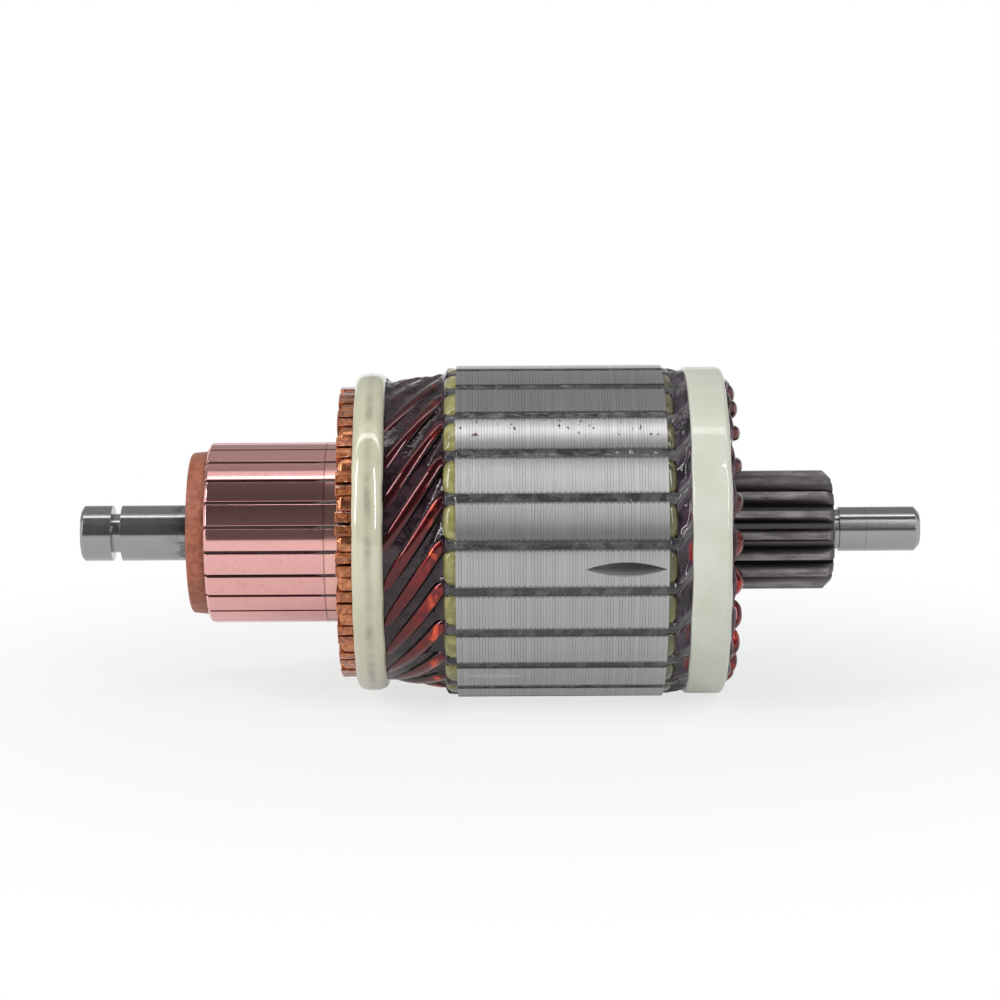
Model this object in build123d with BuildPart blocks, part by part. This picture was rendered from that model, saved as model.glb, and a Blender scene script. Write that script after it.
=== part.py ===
"""Armature of a gear-reduction starter motor, in millimetres.

The shaft lies along X, with the commutator end at -X and the pinion at +X, and Z is up.
The origin is on the axis, halfway along the shaft. Angles are measured round the shaft
from +Y towards +Z, and one core slot points straight down.
"""

import os
from math import acos, cos, pi, radians, sin, tan

from build123d import *

# General
slot_count = 23
pitch = 360 / slot_count
first_slot = 270.0
fit = 0.02
overshoot = 1.0

# Shaft
shaft_length = 150.6
left_journal_radius = 5.0
left_end_chamfer = 0.5
ring_groove_radius = 3.5
ring_groove_width = 1.7
ring_groove_inset = 5.5
seat_radius = 7.0
seat_recess = 0.5
neck_length = 7.95
right_journal_radius = 4.0
right_end_chamfer = 0.9
pinion_shoulder = 0.7
undercut_radius = 3.6
undercut_width = 0.8

# Pinion
tooth_count = 17
pinion_module = 1.125
pressure_angle = radians(20)
tooth_thickness = 2.1
tip_radius = 10.7
root_radius = 8.2
pinion_length = 20.8
pinion_chamfer = 1.4
first_tooth = 177.9

# Core
core_centre = 10.5
lamination_count = 73
lamination_thickness = 0.5
core_radius = 29.8
slot_width = 3.1
slot_opening = 1.45
lip_depth = 1.4
lip_slope = 0.7

# Balance cuts, milled into two teeth with a V-shaped disc cutter
cutter_radius = 20.0
cutter_half_angle = radians(45)
cutter_rim = 3.0
long_cut_place = 29.1
long_cut_depth = 1.3
long_cut_tooth = -5.5
long_cut_offset = 0.3
short_cut_place = 6.6
short_cut_depth = 0.7
short_cut_tooth = -2.5
short_cut_offset = -1.4

# End insulators and slot liners
insulator_thickness = 1.8
insulator_inset = 0.5
liner_thickness = 0.18
liner_setback = 0.6
liner_clearance = 0.1

# Coils
wire_width = 2.3
wire_sides = 6
lip_clearance = 0.3
layer_gap = 0.4
slot_lead = 0.65
riser_lead = 0.6
throw = 3
top_steps = 3
under_steps = 2
left_overhang = 15.8
knuckle_reach = 11.2
knuckle_depth = 0.9
knuckle_drop = 0.4
knuckle_half_angle = 3.0
knuckle_tip_half_angle = 1.0
knuckle_tip_share = 0.5

# Commutator
collar_radius = 14.7
collar_length = 3.25
collar_draft = 0.3
collar_chamfer = 0.3
track_radius = 16.2
track_length = 21.15
land_length = 2.55
bar_end_chamfer = 0.5
bar_gap = 0.5
bar_flank = 1.6
bar_depth = 2.6
dovetail_depth = 1.3
dovetail_neck = 1.4
dovetail_foot = 2.1
undercut_depth = 0.7
undercut_run_out = 1.8
riser_radius = 26.07
riser_thickness = 3.1
riser_clearance = 0.1
moulding_clearance = 0.03

# Glass-cord bands
band_clearance = 0.15
left_band_setback = 0.35
left_band_width = 5.6
left_band_height = 1.7
left_band_slope = 1.3
left_band_fall = 1.2
right_band_gap = 2.1
right_band_width = 7.15
right_band_height = 1.25
right_band_rounding = 0.9

# Places along the shaft
shaft_start = -shaft_length / 2
shaft_end = shaft_length / 2
core_length = lamination_count * lamination_thickness
core_start = core_centre - core_length / 2
core_end = core_centre + core_length / 2
stack_start = core_start - insulator_thickness
stack_end = core_end + insulator_thickness
riser_end = stack_start - left_overhang
riser_start = riser_end - riser_thickness
track_end = riser_start - land_length
bar_start = track_end - track_length
collar_start = bar_start - collar_length
pinion_start = stack_end + neck_length
pinion_end = pinion_start + pinion_length

# Radii of the coil legs' centre lines, worked inwards from the slot lips and the risers
wire_corner = wire_width / 2 / cos(pi / wire_sides)
lip_radius = core_radius - lip_depth
top_in_slot = lip_radius - lip_clearance - wire_corner
bottom_in_slot = top_in_slot - 2 * wire_corner - layer_gap
slot_floor = bottom_in_slot - wire_corner - liner_thickness - liner_clearance
top_in_riser = riser_radius - wire_corner - fit
bottom_in_riser = top_in_riser - 2 * wire_corner - riser_clearance
riser_floor = bottom_in_riser - wire_corner - riser_clearance
top_at_knuckle = top_in_slot - knuckle_drop
bottom_at_knuckle = bottom_in_slot - knuckle_drop


def across(x, angle=0.0):
    """The plane square to the shaft at x, with its own x direction pointing out at the angle."""
    outward = (0, cos(radians(angle)), sin(radians(angle)))
    return Plane(origin=(x, 0, 0), x_dir=outward, z_dir=(1, 0, 0))


def around(x, radius, angle):
    """The point at this place along the shaft, radius and angle."""
    return (x, radius * cos(radians(angle)), radius * sin(radians(angle)))


def export(piece, name):
    """Label a finished piece and write it to its own file."""
    piece.label = name
    export_step(piece, f"parts/{name}.step")


def make_shaft():
    """Turned shaft with the pinion cut into it."""
    base_radius = pinion_module * tooth_count / 2 * cos(pressure_angle)

    def gap_half_angle(radius):
        """Half the angle between two involute flanks at a radius, in radians."""
        roll = acos(base_radius / radius)
        tooth = tooth_thickness / (pinion_module * tooth_count)
        tooth += tan(pressure_angle) - pressure_angle - tan(roll) + roll
        return pi / tooth_count - tooth

    def flank(radius, side):
        """A point on one side of a tooth gap."""
        half = side * gap_half_angle(radius)
        return (radius * cos(half), radius * sin(half))

    outer = tip_radius + overshoot
    middle = (base_radius + outer) / 2
    low = flank(base_radius, 1)[1]
    with BuildSketch() as gap:
        with BuildLine():
            left = ThreePointArc(flank(base_radius, 1), flank(middle, 1), flank(outer, 1))
            right = ThreePointArc(flank(base_radius, -1), flank(middle, -1), flank(outer, -1))
            Line(left @ 1, right @ 1)
            Polyline(left @ 0, (root_radius, low), (root_radius, -low), right @ 0)
        make_face()

    groove_start = shaft_start + ring_groove_inset
    groove_end = groove_start + ring_groove_width
    seat_start = collar_start + seat_recess
    relief_start = pinion_end + pinion_shoulder
    relief_end = relief_start + undercut_width
    with BuildPart() as shaft:
        with BuildSketch(Plane.XY):
            with BuildLine():
                Polyline(
                    (shaft_start, 0),
                    (shaft_start, left_journal_radius - left_end_chamfer),
                    (shaft_start + left_end_chamfer, left_journal_radius),
                    (groove_start, left_journal_radius),
                    (groove_start, ring_groove_radius),
                    (groove_end, ring_groove_radius),
                    (groove_end, left_journal_radius),
                    (seat_start, left_journal_radius),
                    (seat_start, seat_radius),
                    (pinion_start, seat_radius),
                    (pinion_start, tip_radius),
                    (pinion_end - pinion_chamfer, tip_radius),
                    (pinion_end, tip_radius - pinion_chamfer),
                    (pinion_end, right_journal_radius - fit),
                    (relief_start, right_journal_radius - fit),
                    (relief_start, undercut_radius),
                    (relief_end, undercut_radius),
                    (relief_end, right_journal_radius),
                    (shaft_end - right_end_chamfer, right_journal_radius),
                    (shaft_end, right_journal_radius - right_end_chamfer),
                    (shaft_end, 0),
                    close=True,
                )
            make_face()
        revolve(axis=Axis.X)
        with BuildSketch(across(pinion_start, first_tooth + 180 / tooth_count)):
            with PolarLocations(0, tooth_count):
                add(gap.sketch)
        extrude(amount=pinion_length, mode=Mode.SUBTRACT)
    return shaft.part


def make_core():
    """Lamination stack with semi-closed slots and two balance cuts."""
    half, mouth = slot_width / 2, slot_opening / 2
    beyond = core_radius + overshoot
    with BuildPart() as core:
        with BuildSketch(across(core_start, first_slot)):
            Circle(core_radius)
            Circle(seat_radius + fit, mode=Mode.SUBTRACT)
            with PolarLocations(0, slot_count):
                Polygon(
                    (slot_floor, half),
                    (lip_radius - lip_slope, half),
                    (lip_radius, mouth),
                    (beyond, mouth),
                    (beyond, -mouth),
                    (lip_radius, -mouth),
                    (lip_radius - lip_slope, -half),
                    (slot_floor, -half),
                    align=None,
                    mode=Mode.SUBTRACT,
                )
        extrude(amount=core_length)
        for place, depth, tooth, offset in (
            (long_cut_place, long_cut_depth, long_cut_tooth, long_cut_offset),
            (short_cut_place, short_cut_depth, short_cut_tooth, short_cut_offset),
        ):
            angle = first_slot + tooth * pitch + offset
            axle = around(core_start + place, core_radius - depth + cutter_radius, angle)
            cutter = Plane(origin=axle, x_dir=around(0, -1, angle), z_dir=(1, 0, 0))
            spread = cutter_rim * tan(cutter_half_angle)
            with BuildSketch(cutter):
                with BuildLine():
                    Polyline(
                        (cutter_radius, 0),
                        (cutter_radius - cutter_rim, spread),
                        (cutter_radius - cutter_rim, -spread),
                        close=True,
                    )
                make_face()
            revolve(axis=Axis(axle, cutter.y_dir), mode=Mode.SUBTRACT)
    return core.part


def make_insulator(start):
    """End insulator: a ring with a finger on each tooth of the core."""
    radius = core_radius - insulator_inset
    reach = radius + overshoot
    with BuildPart() as insulator:
        with BuildSketch(across(start, first_slot)):
            Circle(radius)
            Circle(seat_radius + fit, mode=Mode.SUBTRACT)
            with PolarLocations((slot_floor + reach) / 2, slot_count):
                Rectangle(reach - slot_floor, slot_width, mode=Mode.SUBTRACT)
        extrude(amount=insulator_thickness)
    return insulator.part


def make_slot_liners():
    """A folded strip of insulation in each slot, one solid for each."""
    outer = slot_width / 2 - fit
    inner = outer - liner_thickness
    floor = slot_floor + fit
    top = lip_radius - lip_slope
    start = stack_start + liner_setback
    end = stack_end - liner_setback
    with BuildPart() as liners:
        with BuildSketch(across(start, first_slot)):
            with PolarLocations(0, slot_count):
                Polygon(
                    (top, outer),
                    (floor, outer),
                    (floor, -outer),
                    (top, -outer),
                    (top, -inner),
                    (floor + liner_thickness, -inner),
                    (floor + liner_thickness, inner),
                    (top, inner),
                    align=None,
                )
        extrude(amount=end - start)
    return liners.part


def bar_outline(reach, clearance=0.0):
    """Corners of a bar's section out to a radius: parallel gaps, neck and dovetail foot."""
    half_pitch = radians(pitch / 2)

    def side(radius):
        return radius * tan(half_pitch) - bar_gap / 2 / cos(half_pitch) + clearance

    neck = track_radius - bar_depth - clearance
    foot = neck - dovetail_depth
    half = [
        (reach, side(reach)),
        (track_radius - bar_flank, side(track_radius - bar_flank)),
        (neck, dovetail_neck / 2 + clearance),
        (foot, dovetail_foot / 2 + clearance),
    ]
    return half + [(u, -v) for u, v in reversed(half)]


def make_hub():
    """Moulding that carries the bars, with a collar and an undercut rib in every gap."""
    rib_radius = track_radius - fit
    run_out_end = track_end
    run_out_start = run_out_end - undercut_run_out
    bore = seat_radius + fit
    floor = track_radius - undercut_depth
    collar_rim = collar_radius - collar_draft
    with BuildPart() as hub:
        with BuildSketch(Plane.XY):
            with BuildLine():
                Polyline(
                    (collar_start, bore),
                    (collar_start, collar_rim - collar_chamfer),
                    (collar_start + collar_chamfer, collar_rim),
                    (bar_start, collar_radius),
                    (bar_start, floor),
                    (run_out_start, floor),
                    (run_out_end, rib_radius),
                    (riser_end, rib_radius),
                    (riser_end, bore),
                    close=True,
                )
            make_face()
        revolve(axis=Axis.X)
        with BuildSketch(across(bar_start, first_slot)):
            with PolarLocations(0, slot_count):
                Polygon(*bar_outline(rib_radius + overshoot, moulding_clearance), align=None)
        extrude(amount=riser_end - bar_start, mode=Mode.SUBTRACT)
    return hub.part


def make_bar(angle):
    """Copper bar with its dovetail foot and slotted riser."""
    start = bar_start + moulding_clearance
    slot_half = wire_corner + riser_clearance
    reach = riser_radius + overshoot
    with BuildPart() as bar:
        for begin, end, radius in (
            (start, riser_start, track_radius),
            (riser_start, riser_end, riser_radius),
        ):
            with BuildSketch(across(begin, angle)):
                Circle(radius)
                Polygon(*bar_outline(reach), align=None, mode=Mode.INTERSECT)
            extrude(amount=end - begin)
        with BuildSketch(across(riser_start, angle)):
            with Locations(((riser_floor + reach) / 2, 0)):
                Rectangle(reach - riser_floor, 2 * slot_half)
        extrude(amount=riser_thickness, mode=Mode.SUBTRACT)
        rim = bar.edges().filter_by(GeomType.CIRCLE).sort_by(Axis.X)[0]
        chamfer(rim, bar_end_chamfer)
    return bar.part


def leg(x_from, radius_from, angle_from, x_to, radius_to, angle_to, steps):
    """Points of a coil leg that winds evenly from one place to another, its first one left out."""
    points = []
    for step in range(1, steps + 1):
        share = step / steps
        x = x_from + share * (x_to - x_from)
        radius = radius_from + share * (radius_to - radius_from)
        angle = angle_from + share * (angle_to - angle_from)
        points.append(around(x, radius, angle))
    return points


def hairpin_path(angle):
    """Centre line of a wave-wound coil: riser, top leg, knuckle, bottom leg, riser."""
    riser_bend = riser_end + riser_lead
    left_bend = stack_start - slot_lead
    right_bend = stack_end + slot_lead
    tip = stack_end + knuckle_reach - wire_corner
    root = tip - knuckle_depth
    turn = throw * pitch
    middle = (top_at_knuckle + bottom_at_knuckle) / 2
    drop = knuckle_tip_share * (top_at_knuckle - middle)
    far = angle - 2 * turn
    path = [
        around(riser_start, top_in_riser, angle + turn),
        around(riser_bend, top_in_riser, angle + turn),
    ]
    path += leg(riser_bend, top_in_riser, angle + turn, left_bend, top_in_slot, angle, top_steps)
    path.append(around(right_bend, top_in_slot, angle))
    back = angle - turn
    above, below = back + knuckle_half_angle, back - knuckle_half_angle
    path += leg(right_bend, top_in_slot, angle, root, top_at_knuckle, above, top_steps)
    path.append(around(tip, middle + drop, back + knuckle_tip_half_angle))
    path.append(around(tip, middle - drop, back - knuckle_tip_half_angle))
    path.append(around(root, bottom_at_knuckle, below))
    path += leg(root, bottom_at_knuckle, below, right_bend, bottom_in_slot, far, under_steps)
    path.append(around(left_bend, bottom_in_slot, far))
    path += leg(
        left_bend, bottom_in_slot, far, riser_bend, bottom_in_riser, far - turn, under_steps
    )
    path.append(around(riser_start, bottom_in_riser, far - turn))
    return path


def make_hairpin(angle):
    """One coil: enamelled wire swept along its path, with mitred bends."""
    points = hairpin_path(angle)
    outward = around(0, 1, angle + throw * pitch)
    with BuildPart() as hairpin:
        with BuildLine() as path:
            Polyline(*points)
        with BuildSketch(Plane(origin=points[0], x_dir=outward, z_dir=(1, 0, 0))):
            RegularPolygon(wire_corner, wire_sides, rotation=180 / wire_sides)
        sweep(path=path.wires()[0], transition=Transition.RIGHT)
    return hairpin.part


def make_band(inner, outline):
    """Cord wound tight over the coil legs, which draws it into two flats for each slot."""
    start, end = outline[0][0], outline[-1][0]
    with BuildPart() as band:
        for x, radius in outline:
            with BuildSketch(across(x, first_slot)):
                RegularPolygon(radius, 2 * slot_count, major_radius=False)
        loft(ruled=True)
        with BuildSketch(across(start, first_slot)):
            RegularPolygon(inner, 2 * slot_count, major_radius=False)
        extrude(amount=end - start, mode=Mode.SUBTRACT)
    return band.part


def make_left_band():
    """Band over the coil legs beside the risers, with a rounded back."""
    start = riser_end - left_band_setback
    end = start + left_band_width
    bend, slot_end = riser_end + riser_lead, stack_start - slot_lead
    share = (end - bend) / (slot_end - bend)
    inner = top_in_riser + share * (top_in_slot - top_in_riser) + wire_corner + band_clearance
    outer = inner + left_band_height
    return make_band(
        inner,
        [
            (start, outer - left_band_fall),
            (start + left_band_slope, outer),
            (end - left_band_slope, outer),
            (end, outer - left_band_fall),
        ],
    )


def make_right_band():
    """Band over the coil legs behind the knuckles, with a rounded outer corner."""
    start = stack_end + right_band_gap
    end = start + right_band_width
    inner = top_in_slot + wire_corner + band_clearance
    outer = inner + right_band_height
    corner = right_band_rounding
    return make_band(inner, [(start, outer), (end - corner, outer), (end, outer - corner)])


os.makedirs("parts", exist_ok=True)
export(make_shaft(), "shaft")
export(make_core(), "core")
export(make_insulator(stack_start), "commutator_end_insulator")
export(make_insulator(core_end), "drive_end_insulator")
export(make_slot_liners(), "slot_liners")
export(make_hub(), "commutator_hub")
export(make_left_band(), "commutator_end_band")
export(make_right_band(), "drive_end_band")
for number in range(slot_count):
    slot_angle = first_slot + number * pitch
    export(make_bar(slot_angle), f"bar_{number + 1:02d}")
    export(make_hairpin(slot_angle), f"hairpin_{number + 1:02d}")
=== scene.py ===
"""Looks of a starter motor armature: coils, varnish, cord bands, finishes and a small studio.

The part lies along X, with the commutator end at -X and Z up. Sizes of the armature are in
millimetres and are turned into metres when a mesh is made. The floor, the cards, the lamps,
the depths of bumps and the subsurface scale are in metres. Angles are measured round the shaft
from +Y towards +Z, in degrees.
"""
import math

import bpy
import numpy as np
from mathutils import Matrix, Vector


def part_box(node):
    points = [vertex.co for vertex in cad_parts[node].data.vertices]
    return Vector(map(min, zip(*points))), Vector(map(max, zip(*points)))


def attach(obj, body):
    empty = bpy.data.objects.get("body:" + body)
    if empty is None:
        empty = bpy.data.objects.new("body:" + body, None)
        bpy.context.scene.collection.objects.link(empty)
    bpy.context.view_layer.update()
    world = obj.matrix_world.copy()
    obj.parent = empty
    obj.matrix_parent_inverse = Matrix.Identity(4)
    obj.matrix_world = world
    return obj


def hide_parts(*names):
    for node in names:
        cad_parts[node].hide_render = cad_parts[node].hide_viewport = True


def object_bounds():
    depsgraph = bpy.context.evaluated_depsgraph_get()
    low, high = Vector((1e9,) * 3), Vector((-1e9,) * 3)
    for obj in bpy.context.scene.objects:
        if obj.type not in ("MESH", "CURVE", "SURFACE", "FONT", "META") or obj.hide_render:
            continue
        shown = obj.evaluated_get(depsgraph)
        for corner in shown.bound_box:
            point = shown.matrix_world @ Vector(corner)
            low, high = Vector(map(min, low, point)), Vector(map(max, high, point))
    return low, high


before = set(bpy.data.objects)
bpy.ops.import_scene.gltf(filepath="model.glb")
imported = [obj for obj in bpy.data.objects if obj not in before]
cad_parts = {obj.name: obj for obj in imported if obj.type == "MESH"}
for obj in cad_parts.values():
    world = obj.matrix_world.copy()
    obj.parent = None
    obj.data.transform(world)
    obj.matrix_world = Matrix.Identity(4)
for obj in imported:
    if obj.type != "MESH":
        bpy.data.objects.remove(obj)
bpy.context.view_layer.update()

MM = 0.001
noise_maker = np.random.default_rng(11)

# Places and radii read from the frame


def low(node, axis):
    """Lowest place of a node along an axis."""
    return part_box(node)[0][axis] / MM


def high(node, axis):
    """Highest place of a node along an axis."""
    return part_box(node)[1][axis] / MM


SLOTS = sum(name.startswith("bar_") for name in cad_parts)
PITCH = 360 / SLOTS
FIRST_SLOT = 270.0
CORE_START, CORE_END = low("core", 0), high("core", 0)
STACK_START = low("commutator_end_insulator", 0)
STACK_END = high("drive_end_insulator", 0)
LEFT_BAND = (low("commutator_end_band", 0), high("commutator_end_band", 0))
RIGHT_BAND = (low("drive_end_band", 0), high("drive_end_band", 0))
LEFT_BAND_RADIUS = high("commutator_end_band", 2)
RIGHT_BAND_RADIUS = high("drive_end_band", 2)
RISER_END = high("bar_01", 0)
RISER_RADIUS = -low("bar_01", 2)
BAR_START = low("bar_01", 0)
COLLAR_START = low("commutator_hub", 0)
CORE_RADIUS = -low("core", 2)
KNUCKLE_TIP = high("hairpin_01", 0)

# Sizes of the CAD pieces that their boxes don't give
RISER_THICKNESS = 3.1
RISER_START = RISER_END - RISER_THICKNESS
LAND_LENGTH = 2.55
TRACK_END = RISER_START - LAND_LENGTH
TRACK_RADIUS = 16.2
PINION_START, PINION_END = 38.5, 59.3
PINION_TIP = 10.7
SLOT_WIDTH = 3.1
SLOT_OPENING = 1.45
SEAT_RADIUS = 7.0

# Cord bands
CORD_TURNS_PER_MM = 2.2
BAND_RADIUS = 28.0

# Marks on the shaft and sheets of the core
SMUDGE_START = COLLAR_START - 5.0
WEAR_LINE = high("shaft", 0) - 9.8
LAMINATION = 0.5

# Coils; THROW counts slots, and WIRE_CORNER is the CAD wire's radius to its corners
THROW = 3
WIRE_WIDTH = 2.72
WIRE_HEIGHT = 2.62
ROUND_SECTION, SQUARE_SECTION = 2.5, 6.0
BLUNT_END = 0.45
LIP_RADIUS = CORE_RADIUS - 1.4
WIRE_CORNER = 1.328
TOP_IN_SLOT = LIP_RADIUS - 0.3 - WIRE_CORNER
BOTTOM_IN_SLOT = TOP_IN_SLOT - 2 * WIRE_CORNER - 0.4
TOP_IN_RISER = RISER_RADIUS - WIRE_CORNER - 0.02
BOTTOM_IN_RISER = TOP_IN_RISER - 2 * WIRE_CORNER - 0.1
TOP_AT_BEND = TOP_IN_SLOT + 0.15
LEFT_BEND = STACK_START - 0.7
RIGHT_BEND = STACK_END + 0.7
RISER_BEND = RISER_END + 0.9
WIRE_START = RISER_START + 0.4
KNUCKLE_SETBACK = 0.6
LEG_RADIUS = 26.0

# Varnish; RIDGE_SLOPE is in degrees a millimetre, and the pools are angles round the shaft
RIDGE_START = STACK_END - 0.3
RIDGE_SLOPE = 2.4
UPPER_POOL, LOWER_POOL = 84, 250
LEFT_VARNISH_FLOOR = 23.6
RIGHT_VARNISH_FLOOR = 24.2

# End insulators
FINGER_FOOT = 22.3
FINGER_NOSE = 1.3
DISC_THICKNESS = 1.8


def around(x, radius, angle):
    """The point at this place along the shaft, radius and angle."""
    return (x, radius * math.cos(math.radians(angle)), radius * math.sin(math.radians(angle)))


def signed_power(value, power):
    """The value's size raised to a power, with its sign kept."""
    return math.copysign(abs(value) ** power, value)


def off_slot(degrees):
    """Where an angle lies beside its nearest slot, from -0.5 to 0.5 of a pitch."""
    return ((degrees - FIRST_SLOT) / PITCH + 0.5) % 1 - 0.5


# Mesh helpers


def make_piece(name, points, faces, material):
    """A smooth mesh piece that rides with the armature, from points in millimetres."""
    mesh = bpy.data.meshes.new(name)
    mesh.from_pydata([tuple(p) for p in np.asarray(points, float) * MM], [], faces)
    mesh.validate()
    mesh.update()
    mesh.shade_smooth()
    mesh.materials.append(material)
    piece = bpy.data.objects.new(name, mesh)
    bpy.context.scene.collection.objects.link(piece)
    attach(piece, "root")
    return piece


def grid_faces(rows, columns, wrap_rows=False, wrap_columns=False, first=0):
    """Quads of a grid of points that is stored row by row."""
    faces = []
    for i in range(rows if wrap_rows else rows - 1):
        for j in range(columns if wrap_columns else columns - 1):
            a = first + i * columns + j
            b = first + i * columns + (j + 1) % columns
            c = first + (i + 1) % rows * columns + (j + 1) % columns
            d = first + (i + 1) % rows * columns + j
            faces.append((a, b, c, d))
    return faces


def ring_points(profile, angles, wobble=None):
    """Points of a profile of (x, radius) turned round the shaft; wobble moves them."""
    points = []
    for j, angle in enumerate(angles):
        for i, (x, radius) in enumerate(profile):
            extra = wobble(i, j) if wobble else (0.0, 0.0)
            points.append(around(x + extra[0], radius + extra[1], angle))
    return points


# Material helpers


def add(tree, kind, inputs=None, **settings):
    """A node with its settings and inputs; an input is a value or another node's socket."""
    node = tree.nodes.new("ShaderNode" + kind)
    for key, value in settings.items():
        setattr(node, key, value)
    for key, value in (inputs or {}).items():
        socket = node.inputs[key]
        if isinstance(value, bpy.types.NodeSocket):
            tree.links.new(value, socket)
        else:
            socket.default_value = value
    return node


def maths(tree, operation, first, second=0.0, third=0.0):
    """The result of a math node."""
    return add(tree, "Math", {0: first, 1: second, 2: third}, operation=operation).outputs[0]


def ramp(tree, factor, start, end, low_value=0.0, high_value=1.0):
    """A smooth change from one value to another as the factor goes from start to end."""
    ends = {"From Min": start, "From Max": end, "To Min": low_value, "To Max": high_value}
    node = add(tree, "MapRange", {"Value": factor, **ends}, interpolation_type="SMOOTHSTEP")
    return node.outputs["Result"]


def ramp_linear(tree, factor, start, end):
    """An even change from 0 to 1 as the factor goes from start to end."""
    node = add(tree, "MapRange", {"Value": factor, "From Min": start, "From Max": end})
    return node.outputs["Result"]


def mix_colour(tree, factor, first, second):
    """One colour mixed into another."""
    node = add(tree, "Mix", data_type="RGBA")
    for index, value in ((0, factor), (6, first), (7, second)):
        socket = node.inputs[index]
        if isinstance(value, bpy.types.NodeSocket):
            tree.links.new(value, socket)
        else:
            socket.default_value = (*value, 1.0) if index and len(value) == 3 else value
    return node.outputs[2]


def new_material(name):
    """A node material and its tree and shader."""
    material = bpy.data.materials.new(name)
    material.use_nodes = True
    tree = material.node_tree
    return material, tree, tree.nodes["Principled BSDF"]


def shaft_coordinates(tree):
    """Sockets for the place along the shaft, the radius and the angle, in mm and turns."""
    place = add(tree, "TexCoord").outputs["Object"]
    split = add(tree, "SeparateXYZ", {0: place})
    x, y, z = [maths(tree, "MULTIPLY", split.outputs[axis], 1 / MM) for axis in range(3)]
    square = maths(tree, "ADD", maths(tree, "MULTIPLY", y, y), maths(tree, "MULTIPLY", z, z))
    radius = maths(tree, "SQRT", square)
    angle = maths(tree, "ARCTAN2", z, y)
    turns = maths(tree, "DIVIDE", angle, 2 * math.pi)
    return x, radius, turns


def noise(tree, vector, scale, detail=3.0, roughness=0.5, distortion=0.0):
    """The value of a noise texture."""
    node = add(
        tree,
        "TexNoise",
        {
            "Vector": vector,
            "Scale": scale,
            "Detail": detail,
            "Roughness": roughness,
            "Distortion": distortion,
        },
    )
    return node.outputs["Fac"]


def unrolled(tree, x, turns, radius, along=1.0, around_scale=1.0):
    """A vector for textures on a turned surface, stretched along or around the shaft."""
    arc = maths(tree, "MULTIPLY", turns, 2 * math.pi * radius * around_scale)
    return add(tree, "CombineXYZ", {0: maths(tree, "MULTIPLY", x, along), 1: arc}).outputs[0]


def away_from_slot(tree, turns):
    """How far a place lies from the middle of its nearest slot, in slot pitches."""
    place = maths(tree, "MULTIPLY", turns, float(SLOTS))
    place = maths(tree, "SUBTRACT", place, FIRST_SLOT / 360 * SLOTS)
    share = maths(tree, "FRACT", maths(tree, "ADD", place, 100.5))
    return maths(tree, "ABSOLUTE", maths(tree, "SUBTRACT", share, 0.5))


def object_vector(tree):
    """Object coordinates in millimetres."""
    place = add(tree, "TexCoord").outputs["Object"]
    return add(tree, "VectorMath", {0: place, "Scale": 1 / MM}, operation="SCALE").outputs[0]


def bump(tree, height, distance, strength=1.0, normal=None):
    """The normal of a height in units of the distance, in metres."""
    node = add(tree, "Bump", {"Height": height, "Distance": distance, "Strength": strength})
    if normal:
        tree.links.new(normal, node.inputs["Normal"])
    return node.outputs["Normal"]


def turned_normal(tree):
    """The true radial normal on turned faces, and the mesh's own normal elsewhere."""
    place = add(tree, "TexCoord").outputs["Object"]
    radial = add(tree, "VectorMath", {0: place, 1: (0, 1, 1)}, operation="MULTIPLY").outputs[0]
    turn = {"vector_type": "NORMAL", "convert_from": "OBJECT", "convert_to": "WORLD"}
    radial = add(tree, "VectorTransform", {0: radial}, **turn).outputs[0]
    geometry = add(tree, "NewGeometry")
    match = add(
        tree,
        "VectorMath",
        {0: geometry.outputs["True Normal"], 1: radial},
        operation="DOT_PRODUCT",
    ).outputs["Value"]
    share = ramp(tree, match, 0.972, 0.982)
    node = add(tree, "Mix", {0: share}, data_type="VECTOR")
    tree.links.new(geometry.outputs["Normal"], node.inputs[4])
    tree.links.new(radial, node.inputs[5])
    return add(tree, "VectorMath", {0: node.outputs[1]}, operation="NORMALIZE").outputs[0]


def set_inputs(tree, shader, **inputs):
    """Sets or links a shader's inputs; underscores stand for spaces."""
    for key, value in inputs.items():
        socket = shader.inputs[key.replace("_", " ")]
        if isinstance(value, bpy.types.NodeSocket):
            tree.links.new(value, socket)
        elif hasattr(value, "__len__") and len(value) == 3:
            socket.default_value = (*value, 1.0)
        else:
            socket.default_value = value


def draw_out_highlights(tree, shader, amount):
    """Highlights drawn out along the shaft, as on a turned surface."""
    set_inputs(tree, shader, Anisotropic=amount, Anisotropic_Rotation=0.25)
    tangent = add(tree, "Tangent", direction_type="RADIAL", axis="X")
    tree.links.new(tangent.outputs[0], shader.inputs["Tangent"])


# Materials


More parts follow.
